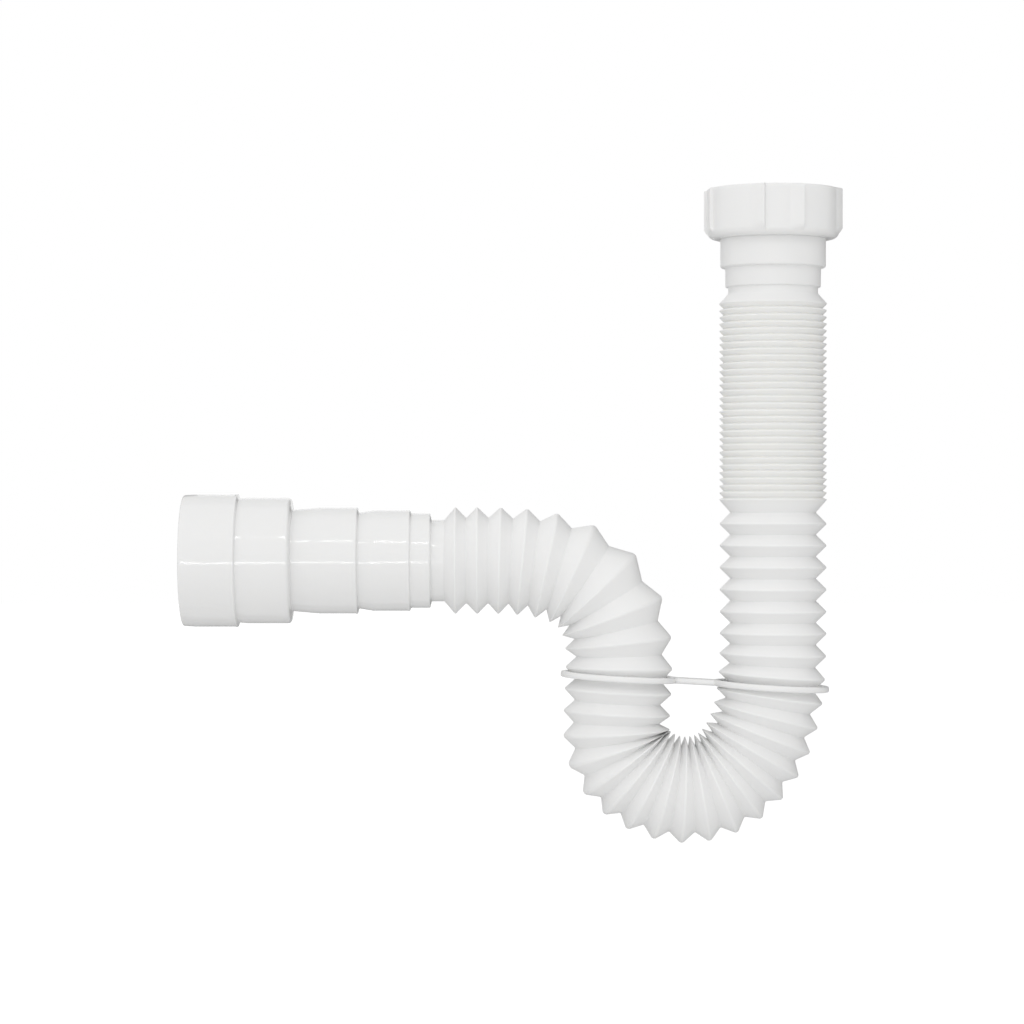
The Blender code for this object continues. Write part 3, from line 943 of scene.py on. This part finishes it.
def nut_corners():
    """The nut's wall: outer side, rounded foot, lip, relief and thread bore."""
    lip_radius = COLLAR_RADIUS + SEAT_GAP
    relief_radius = NUT_THREAD_RADIUS + NUT_RELIEF
    corners = [(NUT_RADIUS, 0.0, NUT_EDGE, 3)]
    corners += [(NUT_RADIUS, height, 0.0, 1) for height in wall_rings()]
    corners += foot_rings()
    corners += [
        (lip_radius, -NUT_HEIGHT, 0.5 * SMALL_FILLET, 2),
        (lip_radius, -LIP_TOP_DEPTH, 0.5 * SMALL_FILLET, 2),
        (relief_radius, -LIP_TOP_DEPTH, SMALL_FILLET, 2),
        (relief_radius, -WASHER_TOP_DEPTH, 0.0, 1),
    ]
    thread_reach = WASHER_TOP_DEPTH - NUT_RELIEF - NUT_EDGE
    for k in range(THREAD_RINGS, -1, -1):
        corners.append((NUT_THREAD_RADIUS, -NUT_EDGE - thread_reach * k / THREAD_RINGS, 0.0, 1))
    corners.append((NUT_THREAD_RADIUS + NUT_EDGE, 0.0, 0.5 * SMALL_FILLET, 2))
    return corners


def rib_stand_out(turn_deg, height, rib_height, step_deg):
    """How far the grip ribs lift the nut's wall: each is a ramp that climbs to a sharp step."""
    share = 0.0
    for pair in range(RIB_PAIRS):
        for spread in (0.0, RIB_PAIR_SPREAD_DEG):
            step_at = RIB_FIRST_DEG + 360.0 * pair / RIB_PAIRS + spread
            behind = (step_at - turn_deg + 180.0) % 360.0 - 180.0
            if -RIB_STEP_SLACK * step_deg <= behind <= RIB_WIDTH_DEG:
                share = (1.0 - max(behind, 0.0) / RIB_WIDTH_DEG) ** RIB_RAMP_POWER
    window = max(0.0, min(1.0, (height + RIB_LENGTH) / RIB_END_FADE))
    return rib_height * share * window


def thread_stand_in(turn_deg, height):
    """How far the thread's ridge stands in from the bore."""
    depth = -height
    fade = min(depth - THREAD_START, THREAD_END - depth) / THREAD_FADE
    if fade <= 0.0:
        return 0.0
    phase = (turn_deg / 360.0 + depth / THREAD_PITCH) % 1.0
    flank = THREAD_FLANK_SLOPE * (1.0 - abs(2.0 * phase - 1.0))
    ridge = max(0.0, min(1.0, flank - THREAD_ROOT_FLAT))
    return THREAD_DEPTH * ridge * min(1.0, fade)


class SINKTRAP_OT_nut(bpy.types.Operator):
    """Model the coupling nut with its grip ribs and its thread"""

    bl_idname = "sinktrap.nut"
    bl_label = "Coupling Nut"

    def execute(self, context):
        sizes = context.scene.sinktrap_nut
        shape = turned_shape(rounded_line(nut_corners()), sizes.around)
        step_deg = 360.0 / sizes.around
        for vertex in shape.verts:
            x, y, z = vertex.co
            radius = math.hypot(x, y)
            turn_deg = math.degrees(math.atan2(y, x))
            lift = 0.0
            if radius > NUT_RADIUS - NUT_EDGE - WALL_SLACK and z > -RIB_LENGTH:
                lift = rib_stand_out(turn_deg, z, sizes.rib_height, step_deg)
            elif abs(radius - NUT_THREAD_RADIUS) < WALL_SLACK:
                lift = -thread_stand_in(turn_deg, z)
            vertex.co = (x * (radius + lift) / radius, y * (radius + lift) / radius, z)
        material = moulded_plastic(
            "white_nut_plastic", sizes, peel_scale=2400.0, wave_scale=260.0, bump=0.00005)
        nut = finished_piece(NUT_NAME, shape, material)
        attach(nut, "coupling")
        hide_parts("inlet_nut")
        return {"FINISHED"}


# Washer

class SINKTRAP_OT_washer(bpy.types.Operator):
    """Model the flat rubber washer with its rounded edges"""

    bl_idname = "sinktrap.washer"
    bl_label = "Sealing Washer"

    def execute(self, context):
        sizes = context.scene.sinktrap_washer
        outer = FLANGE_RADIUS
        inner = outer - WASHER_WIDTH
        corners = [(radius, -depth, WASHER_EDGE, 4) for radius, depth in (
            (outer, WASHER_TOP_DEPTH), (outer, WASHER_FOOT_DEPTH),
            (inner, WASHER_FOOT_DEPTH), (inner, WASHER_TOP_DEPTH))]
        shape = turned_shape(rounded_line(corners), sizes.around)
        washer = finished_piece(WASHER_NAME, shape, washer_rubber(sizes))
        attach(washer, "inlet_end")
        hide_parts("inlet_washer")
        return {"FINISHED"}


# Clip

def arc_points(centre, radius, start_deg, end_deg, steps):
    """Points along an arc, both ends included."""
    points = []
    for i in range(steps + 1):
        angle = math.radians(start_deg + (end_deg - start_deg) * i / steps)
        points.append((centre + radius * math.cos(angle), radius * math.sin(angle)))
    return points


def clip_outlines(span, bore_radius, steps):
    """The clip seen from above: one outer edge round both rings and the bar, and two bores."""
    outer_radius = bore_radius + CLIP_RING_WIDTH
    bar_angle = math.degrees(math.asin(0.5 * CLIP_BAR_WIDTH / outer_radius))
    left = -0.5 * span
    right = 0.5 * span
    edge = arc_points(left, outer_radius, bar_angle, 360.0 - bar_angle, steps)
    edge += arc_points(right, outer_radius, bar_angle - 180.0, 180.0 - bar_angle, steps)
    bores = [arc_points(centre, bore_radius, 0.0, 360.0, steps)[:-1] for centre in (left, right)]
    return [edge] + bores


class SINKTRAP_OT_clip(bpy.types.Operator):
    """Model the flat clip that holds the U, with its rounded edges"""

    bl_idname = "sinktrap.clip"
    bl_label = "U-Bend Clip"

    def execute(self, context):
        sizes = context.scene.sinktrap_clip
        bore_radius = context.scene.sinktrap_hose.crest_radius - CLIP_BITE
        _, right_x, right_z, _ = route_stop(CLIP_INLET_PLEAT)
        _, left_x, left_z, _ = route_stop(CLIP_OUTLET_PLEAT)
        span = math.hypot(right_x - left_x, right_z - left_z)
        shape = bmesh.new()
        for outline in clip_outlines(span, bore_radius, sizes.arc_steps):
            corners = [shape.verts.new((x, y, -0.5 * sizes.thickness)) for x, y in outline]
            for first, second in zip(corners, corners[1:] + corners[:1]):
                shape.edges.new((first, second))
        bmesh.ops.triangle_fill(shape, use_beauty=True, use_dissolve=False, edges=shape.edges)
        raised = bmesh.ops.extrude_face_region(shape, geom=shape.faces[:])
        lifted = [part for part in raised["geom"] if isinstance(part, bmesh.types.BMVert)]
        bmesh.ops.translate(shape, verts=lifted, vec=(0.0, 0.0, sizes.thickness))
        bmesh.ops.recalc_face_normals(shape, faces=shape.faces)
        rims = [edge for edge in shape.edges
                if len(edge.link_faces) == 2 and edge.calc_face_angle() > math.radians(CLIP_RIM_DEG)
                and abs(edge.verts[0].co.z - edge.verts[1].co.z) < 0.5 * sizes.thickness]
        bmesh.ops.bevel(shape, geom=rims, offset=sizes.edge_round, offset_type="OFFSET",
                        segments=CLIP_EDGE_STEPS, profile=0.5, affect="EDGES", material=-1)
        tilt = Matrix.Rotation(math.atan2(left_z - right_z, right_x - left_x), 4, "Y")
        middle = Matrix.Translation((0.5 * (left_x + right_x), 0.0, 0.5 * (left_z + right_z)))
        bmesh.ops.transform(shape, matrix=middle @ tilt, verts=shape.verts)
        material = moulded_plastic(
            "white_clip_plastic", sizes, peel_scale=2800.0, wave_scale=300.0, bump=0.00006)
        clip = finished_piece(CLIP_NAME, shape, material)
        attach(clip, "trap")
        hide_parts("u_bend_clip")
        return {"FINISHED"}


# Stage

def floor_material():
    """Pale floor that keeps shadows and looks white to the camera where nothing shades it."""
    material = bpy.data.materials.new("pale_floor")
    material.use_nodes = True
    tree = material.node_tree
    tree.nodes.clear()
    matte = tree.nodes.new("ShaderNodeBsdfDiffuse")
    matte.inputs["Color"].default_value = (FLOOR_GREY, FLOOR_GREY, FLOOR_GREY, 1.0)
    glow = tree.nodes.new("ShaderNodeEmission")
    seen = tree.nodes.new("ShaderNodeLightPath")
    lift = math_node(tree, "MULTIPLY", seen.outputs["Is Camera Ray"], FLOOR_GLOW)
    tree.links.new(lift, glow.inputs["Strength"])
    both = tree.nodes.new("ShaderNodeAddShader")
    tree.links.new(matte.outputs[0], both.inputs[0])
    tree.links.new(glow.outputs[0], both.inputs[1])
    output = tree.nodes.new("ShaderNodeOutputMaterial")
    tree.links.new(both.outputs[0], output.inputs["Surface"])
    return material


def share_along(tree, direction, axis):
    """How far a direction points along an axis, as their dot product."""
    node = tree.nodes.new("ShaderNodeVectorMath")
    node.operation = "DOT_PRODUCT"
    node.inputs[1].default_value = axis
    tree.links.new(direction, node.inputs[0])
    return node.outputs["Value"]


def white_surroundings(ambient):
    """World: white to the camera and in reflections, and soft light that is weakest from behind, right."""
    world = bpy.data.worlds.new("white_studio")
    bpy.context.scene.world = world
    world.use_nodes = True
    tree = world.node_tree
    background = tree.nodes["Background"]
    direction = tree.nodes.new("ShaderNodeTexCoord").outputs["Generated"]
    dimmed = math_node(tree, "MAXIMUM", share_along(tree, direction, DIM_SIDE), 0.0)
    dimmed = math_node(tree, "MULTIPLY", math_node(tree, "POWER", dimmed, DIM_POWER), DIM_DEPTH)
    soft = math_node(tree, "ADD", share_along(tree, direction, LIGHT_LEAN), ambient)
    soft = math_node(tree, "SUBTRACT", soft, dimmed)
    path = tree.nodes.new("ShaderNodeLightPath")
    seen = math_node(tree, "MAXIMUM", path.outputs["Is Camera Ray"], path.outputs["Is Glossy Ray"])
    seen = math_node(tree, "MAXIMUM", seen, path.outputs["Is Transmission Ray"])
    blend = tree.nodes.new("ShaderNodeMix")
    tree.links.new(seen, blend.inputs[0])
    tree.links.new(soft, blend.inputs[2])
    blend.inputs[3].default_value = 1.0
    background.inputs["Color"].default_value = (1.0, 1.0, 1.0, 1.0)
    tree.links.new(blend.outputs[0], background.inputs["Strength"])


def edge_card(name, corners, grey):
    """A plain card that is seen in reflections alone."""
    shape = bmesh.new()
    shape.faces.new([shape.verts.new(corner) for corner in corners])
    material = bpy.data.materials.new(name)
    material.use_nodes = True
    tree = material.node_tree
    tree.nodes.clear()
    glow = tree.nodes.new("ShaderNodeEmission")
    glow.inputs["Strength"].default_value = grey
    output = tree.nodes.new("ShaderNodeOutputMaterial")
    tree.links.new(glow.outputs[0], output.inputs["Surface"])
    card = finished_piece(name, shape, material)
    card.visible_camera = False
    card.visible_diffuse = False
    card.visible_shadow = False
    card.visible_transmission = False
    card.visible_volume_scatter = False


def edge_cards():
    """The upright cards behind the object and the flat one below them."""
    for name, left, right, foot, top, grey in UPRIGHT_CARDS:
        edge_card(name, [(left, CARD_DISTANCE, foot), (right, CARD_DISTANCE, foot),
                         (right, CARD_DISTANCE, top), (left, CARD_DISTANCE, top)], grey)
    left, right = LOW_CARD_SIDES
    front, back = LOW_CARD_REACH
    edge_card("low_card", [(left, front, LOW_CARD_HEIGHT), (right, front, LOW_CARD_HEIGHT),
                           (right, back, LOW_CARD_HEIGHT), (left, back, LOW_CARD_HEIGHT)], LOW_CARD_GREY)


def strip_lamp(name, place, target, size, power):
    """A long thin area lamp along X that faces a target."""
    lamp = bpy.data.lights.new(name, "AREA")
    lamp.shape = "RECTANGLE"
    lamp.size = size[0]
    lamp.size_y = size[1]
    lamp.energy = power
    holder = bpy.data.objects.new(name, lamp)
    holder.location = place
    holder.rotation_euler = (Vector(target) - Vector(place)).to_track_quat("-Z", "Y").to_euler()
    bpy.context.scene.collection.objects.link(holder)


class SINKTRAP_OT_stage(bpy.types.Operator):
    """Set the pale floor, the white surroundings, the strip lamps and the camera"""

    bl_idname = "sinktrap.stage"
    bl_label = "Stage"

    def execute(self, context):
        settings = context.scene.sinktrap_stage
        context.scene.view_settings.view_transform = "Standard"
        lowest, highest = CAD_BOX
        centre = 0.5 * (lowest + highest)
        shape = bmesh.new()
        bmesh.ops.create_grid(shape, x_segments=1, y_segments=1, size=0.5 * settings.floor_size)
        bmesh.ops.translate(shape, verts=shape.verts,
                            vec=(centre.x, centre.y, lowest.z - settings.floor_drop))
        floor = finished_piece("pale_floor", shape, floor_material())
        white_surroundings(settings.ambient)
        edge_cards()
        for name, place, target, size, share in STRIP_LAMPS:
            strip_lamp(name, place, target, size, share * settings.strip_power)
        camera = bpy.data.cameras.new("photo_camera")
        camera.lens = settings.lens
        camera.sensor_width = SENSOR_WIDTH
        viewer = bpy.data.objects.new("photo_camera", camera)
        distance = PHOTO_PIXELS * settings.lens / SENSOR_WIDTH / PHOTO_PIXELS_PER_METRE
        middle = 0.5 * PHOTO_PIXELS
        viewer.location = ((middle - PHOTO_ORIGIN[0]) / PHOTO_PIXELS_PER_METRE, -distance,
                           (PHOTO_ORIGIN[1] - middle) / PHOTO_PIXELS_PER_METRE)
        viewer.rotation_euler = (math.radians(90.0), 0.0, 0.0)
        context.scene.collection.objects.link(viewer)
        context.scene.camera = viewer
        return {"FINISHED"}


class SINKTRAP_PT_pieces(bpy.types.Panel):
    """Sizes and buttons for the trap's pieces"""

    bl_idname = "SINKTRAP_PT_pieces"
    bl_label = "Sink Trap"
    bl_space_type = "VIEW_3D"
    bl_region_type = "UI"
    bl_category = "Sink Trap"

    def draw(self, context):
        for operator, group in OPERATORS:
            box = self.layout.box()
            box.operator(operator.bl_idname)
            sizes = getattr(context.scene, group)
            for name in sizes.__annotations__:
                box.prop(sizes, name)


GROUPS = (
    ("sinktrap_hose", HoseSizes),
    ("sinktrap_nut", NutSizes),
    ("sinktrap_washer", WasherSizes),
    ("sinktrap_clip", ClipSizes),
    ("sinktrap_stage", StageSettings),
)

OPERATORS = (
    (SINKTRAP_OT_hose, "sinktrap_hose"),
    (SINKTRAP_OT_nut, "sinktrap_nut"),
    (SINKTRAP_OT_washer, "sinktrap_washer"),
    (SINKTRAP_OT_clip, "sinktrap_clip"),
    (SINKTRAP_OT_stage, "sinktrap_stage"),
)


def register():
    for name, group in GROUPS:
        bpy.utils.register_class(group)
        setattr(bpy.types.Scene, name, PointerProperty(type=group))
    for operator, _ in OPERATORS:
        bpy.utils.register_class(operator)
    bpy.utils.register_class(SINKTRAP_PT_pieces)


def unregister():
    bpy.utils.unregister_class(SINKTRAP_PT_pieces)
    for operator, _ in reversed(OPERATORS):
        bpy.utils.unregister_class(operator)
    for name, group in reversed(GROUPS):
        delattr(bpy.types.Scene, name)
        bpy.utils.unregister_class(group)


def main():
    register()
    bpy.ops.sinktrap.stage()
    bpy.ops.sinktrap.hose()
    bpy.ops.sinktrap.nut()
    bpy.ops.sinktrap.washer()
    bpy.ops.sinktrap.clip()


if __name__ == "__main__":
    main()
